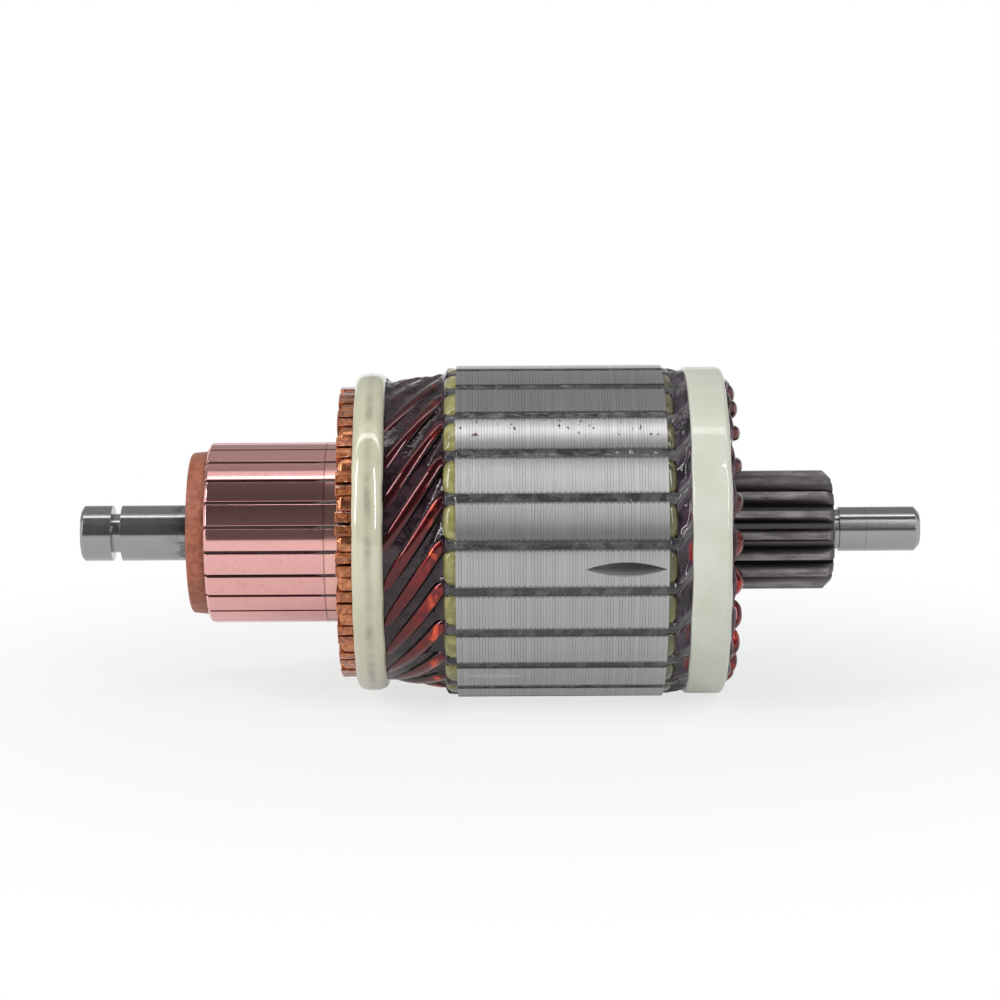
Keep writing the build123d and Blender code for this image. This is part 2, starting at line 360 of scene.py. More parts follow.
def make_shaft_steel():
    """Ground journals, turned neck and a dark oiled pinion."""
    material, tree, shader = new_material("ground_steel")
    x, radius, turns = shaft_coordinates(tree)
    lines = noise(tree, unrolled(tree, x, turns, 5.0, 10.0, 0.02), 1.0, 4.0, 0.6)
    blotches = noise(tree, unrolled(tree, x, turns, PINION_TIP, 0.25, 1.0), 0.9, 4.0, 0.55)
    in_pinion = maths(
        tree,
        "MULTIPLY",
        ramp(tree, x, PINION_START - 0.4, PINION_START),
        ramp(tree, x, PINION_END + 0.05, PINION_END + 0.2, 1.0, 0.0),
    )
    # Tooth tips painted lighter than the roots: a painted highlight on the tips of the dark oiled pinion.
    on_land = ramp(tree, radius, PINION_TIP - 0.9, PINION_TIP - 0.1)
    steel = mix_colour(tree, lines, (0.30, 0.30, 0.30), (0.40, 0.40, 0.40))
    land = mix_colour(tree, ramp(tree, blotches, 0.35, 0.65), (0.18, 0.165, 0.165), (0.33, 0.305, 0.305))
    oiled = mix_colour(tree, on_land, (0.13, 0.12, 0.125), land)
    smudge = maths(
        tree,
        "MULTIPLY",
        ramp(tree, x, SMUDGE_START, SMUDGE_START + 4.0),
        ramp(tree, noise(tree, object_vector(tree), 0.55, 4.0, 0.6), 0.4, 0.62),
    )
    smudge = maths(tree, "MULTIPLY", smudge, ramp(tree, x, COLLAR_START, COLLAR_START + 0.5, 1.0, 0.0))
    steel = mix_colour(tree, maths(tree, "MULTIPLY", smudge, 0.7), steel, (0.09, 0.08, 0.08))
    step = maths(tree, "ABSOLUTE", maths(tree, "SUBTRACT", x, WEAR_LINE))
    steel = mix_colour(tree, ramp(tree, step, 0.05, 0.2, 0.25, 0.0), steel, (0.12, 0.12, 0.12))
    colour = mix_colour(tree, in_pinion, steel, oiled)
    rough = ramp(tree, lines, 0.3, 0.7, 0.17, 0.24)
    rough = maths(tree, "ADD", rough, maths(tree, "MULTIPLY", in_pinion, 0.3))
    set_inputs(
        tree,
        shader,
        Base_Color=colour,
        Metallic=1.0,
        Roughness=rough,
        Normal=bump(tree, lines, 0.000005, 1.0, turned_normal(tree)),
    )
    draw_out_highlights(tree, shader, 0.6)
    return material


def make_core_steel():
    """Laminations half a millimetre thick, turned outside, with specks of old enamel."""
    material, tree, shader = new_material("lamination_steel")
    x, radius, turns = shaft_coordinates(tree)
    sheets = maths(tree, "DIVIDE", maths(tree, "SUBTRACT", x, CORE_START), LAMINATION)
    number = maths(tree, "FLOOR", sheets)
    within = maths(tree, "FRACT", sheets)
    edge = maths(tree, "ABSOLUTE", maths(tree, "SUBTRACT", within, 0.5))
    joint = ramp(tree, edge, 0.3, 0.47)
    milled = ramp(tree, radius, CORE_RADIUS - 0.14, CORE_RADIUS - 0.05)
    joint = maths(tree, "MULTIPLY", joint, milled)
    nearest = maths(tree, "ADD", maths(tree, "ROUND", sheets), 500.0)
    depth = add(tree, "TexWhiteNoise", {"W": nearest}, noise_dimensions="1D").outputs["Value"]
    joint = maths(tree, "MULTIPLY", joint, ramp_linear(tree, depth, -0.25, 1.0))
    tone = add(tree, "TexWhiteNoise", {"W": number}, noise_dimensions="1D").outputs["Value"]
    scratches = noise(tree, unrolled(tree, x, turns, CORE_RADIUS, 5.0, 0.3), 1.0, 4.0, 0.65)
    clouds = noise(tree, object_vector(tree), 0.16, 3.0, 0.5)
    steel = mix_colour(tree, tone, (0.43, 0.43, 0.43), (0.49, 0.49, 0.495))
    steel = mix_colour(tree, maths(tree, "MULTIPLY", scratches, 0.5), steel, (0.57, 0.57, 0.57))
    steel = mix_colour(tree, maths(tree, "MULTIPLY", clouds, 0.3), steel, (0.34, 0.34, 0.345))
    colour = mix_colour(tree, maths(tree, "MULTIPLY", joint, 0.62), steel, (0.12, 0.118, 0.118))
    # Below the turned surface, in the balance cuts and the slots, faces turned down are painted dark and
    # faces turned up painted light: painted shade and painted light on the facets.
    facing = add(tree, "SeparateXYZ", {0: add(tree, "NewGeometry").outputs["True Normal"]}).outputs[2]
    painted_facet_shading = mix_colour(tree, ramp(tree, facing, -0.3, 0.1), (0.15, 0.147, 0.147), (0.60, 0.59, 0.59))
    colour = mix_colour(tree, milled, painted_facet_shading, colour)
    # A ragged, darker edge along each slot lip.
    arc = 2 * math.pi * CORE_RADIUS / SLOTS
    beyond_lip = maths(tree, "MULTIPLY", away_from_slot(tree, turns), arc)
    beyond_lip = maths(tree, "SUBTRACT", beyond_lip, SLOT_OPENING / 2)
    ragged = maths(tree, "MULTIPLY", maths(tree, "FRACT", maths(tree, "MULTIPLY", number, 0.5)), 0.3)
    lip_darkening = ramp(tree, maths(tree, "SUBTRACT", beyond_lip, ragged), 0.05, 0.4, 1.0, 0.0)
    colour = mix_colour(tree, maths(tree, "MULTIPLY", lip_darkening, 0.6), colour, (0.055, 0.053, 0.055))
    specks = noise(tree, unrolled(tree, x, turns, CORE_RADIUS, 1.4, 0.8), 0.6, 2.0, 0.55)
    specks = ramp(tree, specks, 0.635, 0.66)
    tooth = speck_zone(tree, turns)
    colour = mix_colour(tree, maths(tree, "MULTIPLY", specks, tooth), colour, (0.085, 0.03, 0.045))
    height = maths(tree, "SUBTRACT", maths(tree, "MULTIPLY", scratches, 0.25), joint)
    set_inputs(
        tree,
        shader,
        Base_Color=colour,
        Metallic=1.0,
        Roughness=ramp(tree, scratches, 0.3, 0.8, 0.33, 0.42),
        Normal=bump(tree, height, 0.000016, 0.8, turned_normal(tree)),
    )
    draw_out_highlights(tree, shader, 0.85)
    return material


def speck_zone(tree, turns):
    """The upper half of one tooth, high on the side at -Y, which carries the enamel specks."""
    middle = (FIRST_SLOT - 8.5 * PITCH - 2.2) / 360
    half = 0.24 / SLOTS
    away = maths(tree, "ABSOLUTE", maths(tree, "SUBTRACT", turns, middle))
    return ramp(tree, away, half * 0.7, half, 1.0, 0.0)


def make_copper():
    """Turned copper of the brush track, and rough copper under varnish on the risers."""
    material, tree, shader = new_material("commutator_copper")
    x, radius, turns = shaft_coordinates(tree)
    lines = noise(tree, unrolled(tree, x, turns, TRACK_RADIUS, 9.0, 0.2), 1.0, 4.0, 0.6)
    stains = noise(tree, object_vector(tree), 0.5, 4.0, 0.6, 0.4)
    specks = ramp(tree, noise(tree, object_vector(tree), 2.6, 2.0, 0.5), 0.7, 0.74)
    polished = mix_colour(tree, lines, (0.78, 0.40, 0.38), (0.86, 0.48, 0.47))
    polished = mix_colour(tree, ramp(tree, stains, 0.52, 0.8, 0.0, 0.5), polished, (0.66, 0.30, 0.27))
    polished = mix_colour(tree, maths(tree, "MULTIPLY", specks, 0.7), polished, (0.22, 0.09, 0.08))
    # A dark line where the brush track ends: painted shade of the step there.
    step = maths(tree, "ABSOLUTE", maths(tree, "SUBTRACT", x, TRACK_END))
    polished = mix_colour(tree, ramp(tree, step, 0.08, 0.22, 0.6, 0.0), polished, (0.20, 0.085, 0.075))
    land = ramp(tree, x, TRACK_END, TRACK_END + 0.15)
    polished = mix_colour(tree, maths(tree, "MULTIPLY", land, 0.5), polished, (0.90, 0.50, 0.42))
    grain = noise(tree, object_vector(tree), 0.9, 4.0, 0.6, 0.8)
    rough_copper = mix_colour(tree, ramp(tree, grain, 0.3, 0.7), (0.24, 0.065, 0.025), (0.76, 0.26, 0.10))
    riser = ramp(tree, radius, TRACK_RADIUS + 0.3, TRACK_RADIUS + 1.6)
    below = ramp(tree, radius, TRACK_RADIUS - 1.1, TRACK_RADIUS - 0.35, 1.0, 0.0)
    colour = mix_colour(tree, riser, polished, rough_copper)
    colour = mix_colour(tree, below, colour, (0.10, 0.035, 0.025))
    rough = ramp(tree, lines, 0.3, 0.75, 0.07, 0.12)
    rough = maths(tree, "ADD", rough, maths(tree, "MULTIPLY", riser, 0.25))
    rough = maths(tree, "ADD", rough, maths(tree, "MULTIPLY", land, 0.06))
    rippled = maths(tree, "MULTIPLY", maths(tree, "MULTIPLY", grain, riser), 1.6)
    height = maths(tree, "ADD", maths(tree, "MULTIPLY", lines, 0.04), rippled)
    set_inputs(
        tree,
        shader,
        Base_Color=colour,
        Metallic=1.0,
        Roughness=rough,
        Normal=bump(tree, height, 0.0001, 1.0, turned_normal(tree)),
        Coat_Weight=riser,
        Coat_Roughness=0.05,
    )
    return material


def make_moulding():
    """Brown moulded collar, dark and dusty in the gaps between the bars."""
    material, tree, shader = new_material("commutator_moulding")
    x = shaft_coordinates(tree)[0]
    grain = noise(tree, object_vector(tree), 0.7, 5.0, 0.6, 0.4)
    fine = noise(tree, object_vector(tree), 6.0, 3.0, 0.6)
    brown = mix_colour(tree, ramp(tree, grain, 0.3, 0.7), (0.25, 0.07, 0.036), (0.42, 0.14, 0.075))
    gap = ramp(tree, x, BAR_START + 0.05, BAR_START + 0.25)
    dark = mix_colour(tree, ramp(tree, fine, 0.35, 0.7), (0.03, 0.022, 0.024), (0.10, 0.08, 0.08))
    colour = mix_colour(tree, gap, brown, dark)
    set_inputs(
        tree,
        shader,
        Base_Color=colour,
        Roughness=ramp(tree, grain, 0.3, 0.7, 0.38, 0.55),
        Normal=bump(tree, maths(tree, "ADD", grain, fine), 0.00003, 0.6),
    )
    return material


def make_enamel():
    """Copper wire seen through red enamel and clear varnish, bare in the risers."""
    material, tree, shader = new_material("enamelled_wire")
    x, radius, _ = shaft_coordinates(tree)
    streaks = noise(tree, object_vector(tree), 0.4, 3.0, 0.5, 0.5)
    grain = noise(tree, object_vector(tree), 0.9, 4.0, 0.55, 0.6)
    red = mix_colour(tree, ramp(tree, streaks, 0.35, 0.65), (0.13, 0.006, 0.006), (0.23, 0.010, 0.008))
    # Wires darker towards the commutator-end band: thicker varnish there, and painted shade.
    from_bend = ramp(tree, x, LEFT_BAND[1], LEFT_BEND - 1.6)
    red = mix_colour(tree, from_bend, (0.09, 0.004, 0.008), red)
    # A bright orange-red patch on the legs just short of the bend near the core: a painted highlight.
    glow = ramp(tree, x, LEFT_BEND - 2.6, LEFT_BEND - 1.4)
    glow = maths(tree, "MULTIPLY", glow, ramp(tree, streaks, 0.44, 0.6))
    glow = maths(tree, "MULTIPLY", glow, ramp(tree, x, LEFT_BEND - 0.4, LEFT_BEND - 1.0))
    red = mix_colour(tree, glow, red, (0.85, 0.10, 0.03))
    at_knuckle = ramp(tree, x, RIGHT_BAND[1] - 0.8, RIGHT_BAND[1] - 0.2)
    knuckle = mix_colour(tree, ramp(tree, streaks, 0.4, 0.65), (0.08, 0.004, 0.010), (0.34, 0.022, 0.010))
    red = mix_colour(tree, at_knuckle, red, knuckle)
    # Wires higher up painted darker: painted shade on the upper side of the coils.
    upward = add(tree, "SeparateXYZ", {0: object_vector(tree)}).outputs[2]
    red = mix_colour(tree, ramp(tree, upward, -4.0, 14.0, 0.0, 0.8), red, (0.05, 0.008, 0.011))
    # Wire sides below the crest are painted near black while the crests and the knuckles stay red:
    # painted shade on the sides.
    share = ramp_linear(tree, x, RISER_BEND, LEFT_BEND)
    rise = TOP_AT_BEND - TOP_IN_RISER
    crest = maths(tree, "MULTIPLY_ADD", share, rise, TOP_IN_RISER + WIRE_HEIGHT / 2)
    below_crest = maths(tree, "SUBTRACT", radius, crest)
    lit = maths(tree, "MAXIMUM", ramp(tree, below_crest, -0.5, -0.08), at_knuckle)
    red = mix_colour(tree, lit, (0.020, 0.004, 0.006), red)
    bare = mix_colour(tree, ramp(tree, grain, 0.3, 0.7), (0.34, 0.10, 0.04), (0.74, 0.28, 0.11))
    in_riser = ramp(tree, x, RISER_END + 0.2, RISER_END + 0.6, 1.0, 0.0)
    colour = mix_colour(tree, in_riser, red, bare)
    set_inputs(
        tree,
        shader,
        Base_Color=colour,
        Metallic=1.0,
        Roughness=ramp(tree, grain, 0.3, 0.7, 0.26, 0.34),
        Normal=bump(tree, grain, 0.00012, 0.4),
        Coat_Weight=0.9,
        Coat_Roughness=0.04,
        Coat_IOR=1.5,
    )
    return material


def make_varnish(name, deep, thin):
    """Thick dark impregnating varnish with a wet surface."""
    material, tree, shader = new_material(name)
    cloud = noise(tree, object_vector(tree), 0.35, 4.0, 0.55, 0.7)
    ripple = noise(tree, object_vector(tree), 0.6, 3.0, 0.45)
    colour = mix_colour(tree, ramp(tree, cloud, 0.42, 0.62), deep, thin)
    set_inputs(
        tree,
        shader,
        Base_Color=colour,
        Roughness=ramp(tree, ripple, 0.3, 0.7, 0.05, 0.12),
        Normal=bump(tree, ripple, 0.0005, 0.4),
        Specular_IOR_Level=0.4,
        Coat_Weight=0.15,
        Coat_Roughness=0.03,
    )
    return material


def make_cord(name, smudged):
    """Glass cord wound in turns and set in clear resin."""
    material, tree, shader = new_material(name)
    x, _, turns = shaft_coordinates(tree)
    wind = maths(tree, "ADD", maths(tree, "MULTIPLY", x, CORD_TURNS_PER_MM), turns)
    strand = maths(tree, "SINE", maths(tree, "MULTIPLY", wind, 2 * math.pi))
    fibres = noise(tree, unrolled(tree, x, turns, BAND_RADIUS, 5.0, 0.12), 1.0, 4.0, 0.6)
    cloud = noise(tree, object_vector(tree), 0.12, 3.0, 0.5)
    if smudged:
        tones = ((0.58, 0.575, 0.40), (0.65, 0.64, 0.48), (0.52, 0.51, 0.35))
    else:
        tones = ((0.62, 0.64, 0.53), (0.69, 0.70, 0.62), (0.58, 0.59, 0.49))
    pale = mix_colour(tree, ramp(tree, cloud, 0.35, 0.7), tones[0], tones[1])
    pale = mix_colour(tree, maths(tree, "MULTIPLY", fibres, 0.3), pale, tones[2])
    if smudged:
        from_middle = maths(tree, "ABSOLUTE", maths(tree, "SUBTRACT", x, sum(LEFT_BAND) / 2 + 0.15))
        middle = ramp(tree, from_middle, 0.1, 1.1, 1.0, 0.0)
        spots = noise(tree, unrolled(tree, x, turns, BAND_RADIUS, 0.5, 0.5), 0.4, 3.0, 0.5)
        spots = ramp(tree, spots, 0.3, 0.66, 0.25, 1.0)
        smudge = maths(tree, "MULTIPLY", maths(tree, "MULTIPLY", middle, spots), 0.62)
        pale = mix_colour(tree, smudge, pale, (0.21, 0.195, 0.15))
        dots = ramp(tree, noise(tree, object_vector(tree), 1.6, 2.0, 0.5), 0.72, 0.76)
        pale = mix_colour(tree, maths(tree, "MULTIPLY", dots, 0.6), pale, (0.20, 0.16, 0.07))
    height = maths(tree, "ADD", maths(tree, "MULTIPLY", strand, 0.12), fibres)
    set_inputs(
        tree,
        shader,
        Base_Color=pale,
        Roughness=0.32,
        Subsurface_Weight=0.12,
        Normal=bump(tree, height, 0.00006, 0.6),
        Coat_Weight=1.0 if smudged else 0.4,
        Coat_Roughness=0.03,
        Coat_IOR=1.8,
    )
    shader.inputs["Subsurface Radius"].default_value = (0.8, 0.7, 0.4)
    shader.inputs["Subsurface Scale"].default_value = 0.0006
    return material


def make_end_varnish():
    """Grey varnish on the ridges over the coil legs, purple beside them and patchy painted shade between.
    """
    material, tree, shader = new_material("end_varnish")
    x, _, turns = shaft_coordinates(tree)
    drift = maths(tree, "MULTIPLY", maths(tree, "SUBTRACT", x, RIDGE_START), RIDGE_SLOPE / 360)
    away = away_from_slot(tree, maths(tree, "ADD", turns, drift))
    cloud = noise(tree, object_vector(tree), 0.3, 3.0, 0.5, 0.5)
    ripple = noise(tree, object_vector(tree), 0.5, 3.0, 0.45)
    side = ramp(tree, away, 0.10, 0.20)
    colour = mix_colour(tree, side, (0.115, 0.108, 0.112), (0.062, 0.036, 0.060))
    # Patchy dark hollows between the ridges: painted shade.
    dark = maths(tree, "MULTIPLY", ramp(tree, away, 0.22, 0.36), ramp(tree, cloud, 0.62, 0.44))
    colour = mix_colour(tree, dark, colour, (0.020, 0.017, 0.019))
    near_band = ramp(tree, x, RIGHT_BAND[0] - 1.0, RIGHT_BAND[0] - 0.3)
    patches = ramp(tree, noise(tree, object_vector(tree), 0.16, 2.0, 0.5), 0.5, 0.58)
    # The red wire showing near the band fades out higher up: painted shade on the upper side.
    height = add(tree, "SeparateXYZ", {0: object_vector(tree)}).outputs[2]
    patches = maths(tree, "MULTIPLY", patches, ramp(tree, height, 14.0, 4.0))
    wire = maths(tree, "MULTIPLY", near_band, patches)
    wire = maths(tree, "MULTIPLY", wire, ramp(tree, away, 0.2, 0.34))
    colour = mix_colour(tree, maths(tree, "MULTIPLY", wire, 0.85), colour, (0.30, 0.012, 0.014))
    set_inputs(
        tree,
        shader,
        Base_Color=colour,
        Roughness=ramp(tree, ripple, 0.3, 0.7, 0.07, 0.16),
        Normal=bump(tree, ripple, 0.0004, 0.4),
    )
    return material


def make_fibre(name, deep, pale):
    """Olive insulation board under varnish."""
    material, tree, shader = new_material(name)
    cloud = noise(tree, object_vector(tree), 0.5, 4.0, 0.55)
    fine = noise(tree, object_vector(tree), 3.0, 3.0, 0.6)
    colour = mix_colour(tree, ramp(tree, cloud, 0.35, 0.7), deep, pale)
    height = maths(tree, "ADD", cloud, maths(tree, "MULTIPLY", fine, 0.2))
    set_inputs(
        tree,
        shader,
        Base_Color=colour,
        Roughness=0.4,
        Normal=bump(tree, height, 0.0001, 0.6),
        Coat_Weight=0.8,
        Coat_Roughness=0.08,
    )
    return material


def make_paper():
    """Slot paper soaked with varnish."""
    material, tree, shader = new_material("slot_paper")
    fibres = noise(tree, object_vector(tree), 3.0, 4.0, 0.6)
    colour = mix_colour(tree, fibres, (0.42, 0.34, 0.16), (0.56, 0.49, 0.28))
    set_inputs(tree, shader, Base_Color=colour, Roughness=0.55, Normal=bump(tree, fibres, 0.00003))
    return material


# Coils


def coil_route(angle):
    """Places (x, radius, angle, turn of the section) down one coil, before its bends are rounded."""
    far = angle - 2 * THROW * PITCH
    back = angle - THROW * PITCH
    tip = KNUCKLE_TIP - KNUCKLE_SETBACK - WIRE_HEIGHT / 2
    return [
        (WIRE_START, TOP_IN_RISER - 0.05, angle + THROW * PITCH, 0.0),
        (RISER_BEND, TOP_IN_RISER, angle + THROW * PITCH, 0.0),
        (LEFT_BEND, TOP_AT_BEND, angle, 0.0),
        (RIGHT_BEND, TOP_IN_SLOT + 0.05, angle, 0.0),
        (tip - 1.4, TOP_IN_SLOT - 0.35, back + 3.6, 0.0),
        (tip + 0.75, TOP_IN_SLOT - 0.9, back + 1.6, 0.5),
        (tip + 0.75, BOTTOM_IN_SLOT + 0.3, back - 1.6, 0.5),
        (tip - 1.4, BOTTOM_IN_SLOT - 0.35, back - 3.6, 1.0),
        (RIGHT_BEND, BOTTOM_IN_SLOT, far, 1.0),
        (LEFT_BEND, BOTTOM_IN_SLOT, far, 1.0),
        (RISER_BEND, BOTTOM_IN_RISER, far - THROW * PITCH, 1.0),
        (WIRE_START, BOTTOM_IN_RISER, far - THROW * PITCH, 1.0),
    ]


def rounded_route(route, step=0.35, reach=1.7):
    """The route sampled by length, with every bend rounded over about the reach each way."""
    route = np.array(route, float)
    middle_radius = 25.0
    flat = np.column_stack([route[:, 0], route[:, 1], np.radians(route[:, 2]) * middle_radius])
    lengths = np.r_[0, np.cumsum(np.linalg.norm(np.diff(flat, axis=0), axis=1))]
    count = int(lengths[-1] / step)
    at = np.linspace(0, lengths[-1], count)
    dense = np.column_stack([np.interp(at, lengths, route[:, k]) for k in range(4)])
    window = max(3, int(2 * reach / step) | 1)
    half = window // 2
    kernel = np.hanning(window + 2)[1:-1]
    kernel /= kernel.sum()
    before = 2 * dense[0] - dense[half:0:-1]
    after = 2 * dense[-1] - dense[-2 : -half - 2 : -1]
    padded = np.vstack([before, dense, after])
    return np.column_stack([np.convolve(padded[:, k], kernel, "valid") for k in range(4)])


def make_coil(number, material):
    """One enamelled wire along its rounded route, pressed square where it sits in the risers."""
    angle = FIRST_SLOT + (number - 1) * PITCH
    places = rounded_route(coil_route(angle))
    centre = np.array([around(x, r, a) for x, r, a, _ in places])
    along = np.gradient(centre, axis=0)
    along /= np.linalg.norm(along, axis=1)[:, None]
    sides = 14
    points = []
    for k, (x, _, degrees, turned) in enumerate(places):
        out = np.array(around(0, 1, degrees))
        swing = math.pi * turned
        up = math.cos(swing) * out + math.sin(swing) * np.array([1.0, 0, 0])
        up -= up.dot(along[k]) * along[k]
        up /= np.linalg.norm(up)
        side = np.cross(along[k], up)
        pressed = min(max((RISER_END + 1.2 - x) / 1.6, 0.0), 1.0)
        power = 2.0 / (ROUND_SECTION + (SQUARE_SECTION - ROUND_SECTION) * pressed)
        to_end = min(max((x - WIRE_START) / 0.7, 0.0), 1.0)
        blunt = BLUNT_END + (1 - BLUNT_END) * math.sqrt(1 - (1 - to_end) ** 2)
        width = (WIRE_WIDTH / 2 + 0.06 * pressed) * blunt
        height = WIRE_HEIGHT / 2 * blunt
        for m in range(sides):
            t = 2 * math.pi * (m + 0.5) / sides
            u = width * signed_power(math.cos(t), power)
            v = height * signed_power(math.sin(t), power)
            points.append(centre[k] + u * side + v * up)
    rows = len(places)
    faces = grid_faces(rows, sides, wrap_columns=True)
    faces.append(tuple(range(sides)))
    faces.append(tuple((rows - 1) * sides + m for m in reversed(range(sides))))
    piece = make_piece(f"coil_{number:02d}", points, faces, material)
    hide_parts(f"hairpin_{number:02d}")


# Varnish between the coils


def soft_max(first, second, blend):
    """The larger of two heights, with the crease between them filled."""
    high_one = np.maximum(first, second)
    gap = np.abs(first - second)
    return high_one + np.maximum(blend - gap, 0) ** 2 / (4 * blend)


def smooth_field(rows, columns, cells_x, cells_around):
    """Gentle random heights from -1 to 1 that join up round the shaft."""
    coarse = noise_maker.uniform(-1, 1, (cells_x, cells_around))
    xs = np.linspace(0, cells_x - 1, rows)
    ys = np.linspace(0, cells_around, columns, endpoint=False)
    i0 = np.floor(xs).astype(int)
    i1 = np.minimum(i0 + 1, cells_x - 1)
    j0 = np.floor(ys).astype(int) % cells_around
    j1 = (j0 + 1) % cells_around
    fx = (xs - np.floor(xs))[:, None]
    fy = (ys - np.floor(ys))[None, :]
    fx = fx * fx * (3 - 2 * fx)
    fy = fy * fy * (3 - 2 * fy)
    near = coarse[np.ix_(i0, j0)] * (1 - fy) + coarse[np.ix_(i0, j1)] * fy
    far = coarse[np.ix_(i1, j0)] * (1 - fy) + coarse[np.ix_(i1, j1)] * fy
    return near * (1 - fx) + far * fx


def make_sleeve(name, xs, height, floor, material):
    """A closed sleeve round the shaft with these outer radii, row by row, and one inner radius."""
    columns = height.shape[1]
    angles = np.linspace(0, 360, columns, endpoint=False)
    points = [
        around(x, height[i, j], angles[j]) for i, x in enumerate(xs) for j in range(columns)
    ]
    points += [around(x, floor, angle) for x in (xs[-1], xs[0]) for angle in angles]
    faces = grid_faces(len(xs) + 2, columns, wrap_rows=True, wrap_columns=True)
    make_piece(name, points, faces, material)


def make_left_varnish(material):
    """Varnish in the valleys between the slanting legs, running up to the slots."""
    columns = 40 * SLOTS
    xs = np.linspace(LEFT_BAND[1] - 0.5, STACK_START + 0.35, 56)
    angles = np.linspace(0, 360, columns, endpoint=False)
    x = xs[:, None]
    share = np.clip((x - RISER_BEND) / (LEFT_BEND - RISER_BEND), 0, 1)
    leg_radius = TOP_IN_RISER + (TOP_AT_BEND - TOP_IN_RISER) * share
    leg_turn = (1 - share) * THROW * PITCH
    slope = math.radians(THROW * PITCH) * LEG_RADIUS / (LEFT_BEND - RISER_BEND)
    cosine = 1 / math.hypot(1, slope)
    away = np.abs(off_slot(angles[None, :] - leg_turn))
    distance = np.radians(away * PITCH) * leg_radius * cosine
    half_gap = math.radians(PITCH / 2) * LEG_RADIUS * cosine
    reach = np.clip(distance / half_gap, 0, 1)
    upward = np.clip(np.cos(np.radians(angles[None, :] - UPPER_POOL)), 0, 1) ** 5
    downward = np.clip(np.cos(np.radians(angles[None, :] - LOWER_POOL)), 0, 1)
    meniscus = 1.2 * np.minimum(1 - reach, 0.55) ** 1.5
    level = leg_radius - 0.3 + meniscus + 1.3 * upward + 0.3 * downward
    level = level + 0.28 * smooth_field(len(xs), columns, 9, 60)
    at_band = np.clip(1 - (x - LEFT_BAND[1]) / 1.3, 0, 1)
    level = level + 0.9 * at_band**2 * (0.4 + 0.6 * upward)
    mouth = np.abs(off_slot(angles[None, :])) * PITCH
    in_slot = np.clip(1 - (np.radians(mouth) * CORE_RADIUS - 1.0) / 0.9, 0, 1)
    rise = np.clip((x - (STACK_START - 1.6)) / 1.6, 0, 1)
    plug = (CORE_RADIUS - 3.2) + 2.6 * rise**1.5 * (0.35 + 0.65 * np.maximum(in_slot, upward))
    height = soft_max(level, plug, 0.8)
    height = np.minimum(height, CORE_RADIUS - 0.35)
    make_sleeve("commutator_end_varnish", xs, height, LEFT_VARNISH_FLOOR, material)


def make_slot_varnish(material):
    """Varnish that fills the slot mouths and runs out over the end insulators."""
    xs = np.linspace(STACK_START + 0.1, STACK_END + 2.0, 160)
    across = np.linspace(-1, 1, 9)
    points, faces = [], []
    for slot in range(SLOTS):
        first = len(points)
        dip = smooth_field(len(xs), len(across), 40, 4)
        for i, x in enumerate(xs):
            inside = CORE_START - 0.1 < x < CORE_END + 0.1
            beyond = min(max((x - STACK_END + 1.0) / 3.0, 0.0), 1.0)
            half = SLOT_OPENING / 2 + 0.04 if inside else SLOT_WIDTH / 2 - 0.3 - 0.5 * beyond
            drift = RIDGE_SLOPE * max(x - RIDGE_START, 0.0)
            middle = FIRST_SLOT + slot * PITCH - drift
            for j, u in enumerate(across):
                hollow = 0.14 * (1 - u * u) * (1 - dip[i, j])
                top = CORE_RADIUS - 0.05 - hollow - 0.35 * beyond
                if not inside:
                    top -= 0.3 + 0.7 * u * u
                arc = math.degrees(u * half / CORE_RADIUS)
                points.append(around(x, top, middle + arc))
            for u in (1, -1):
                arc = math.degrees(u * half / CORE_RADIUS)
                points.append(around(x, LIP_RADIUS - 0.2, middle + arc))
        width = len(across) + 2
        faces += grid_faces(len(xs), width, wrap_columns=True, first=first)
        faces.append(tuple(first + j for j in reversed(range(width))))
        faces.append(tuple(first + (len(xs) - 1) * width + j for j in range(width)))
    make_piece("slot_varnish", points, faces, material)


def make_right_varnish(material):
    """Varnish over the coil legs between the core and the drive-end band."""
    columns = 40 * SLOTS
    xs = np.linspace(STACK_END - 0.5, RIGHT_BAND[0] + 0.35, 24)
    angles = np.linspace(0, 360, columns, endpoint=False)
    x = xs[:, None]
    share = np.clip((x - STACK_END - 0.2) / (RIGHT_BAND[0] - STACK_END), 0, 1)
    away = np.abs(off_slot(angles[None, :] + RIDGE_SLOPE * (x - RIDGE_START)))
    ridge = (np.cos(away * 2 * math.pi) * 0.5 + 0.5) ** 2
    height = TOP_IN_SLOT + 1.4 + (0.75 + 0.2 * share) * ridge
    height = height + 0.2 * smooth_field(len(xs), columns, 5, 70)
    fillet = np.clip((x - (RIGHT_BAND[0] - 0.9)) / 0.9, 0, 1) ** 2
    height = np.minimum(height + 0.5 * fillet, RIGHT_BAND_RADIUS - 0.6)
    make_sleeve("drive_end_varnish", xs, height, RIGHT_VARNISH_FLOOR, material)


def make_knuckle_varnish(material):
    """Varnish webs between the knuckles, with a scalloped outline."""
    columns = 30 * SLOTS
    angles = np.linspace(0, 360, columns, endpoint=False)
    away = np.abs(off_slot(angles)) * 2
    field = smooth_field(1, columns, 2, 60)[0]
    tip = KNUCKLE_TIP - 0.95 - 0.75 * away**2 + 0.12 * np.minimum(field, 0)
    outer, inner = TOP_IN_SLOT + 0.85, BOTTOM_IN_SLOT - 0.5
    middle, half = (outer + inner) / 2, (outer - inner) / 2
    start = RIGHT_BAND[1] - 0.5
    steps = 14
    points = []
    for j, angle in enumerate(angles):
        for k in range(steps + 1):
            t = math.pi * k / steps
            reach = math.sin(t) ** 0.45
            x = start + (tip[j] - start) * reach
            swell = half - 0.35 * away[j] ** 2
            radius = middle + swell * signed_power(math.cos(t), 0.6)
            points.append(around(x, radius, angle))
    faces = grid_faces(columns, steps + 1, wrap_rows=True, wrap_columns=True)
    make_piece("knuckle_varnish", points, faces, material)


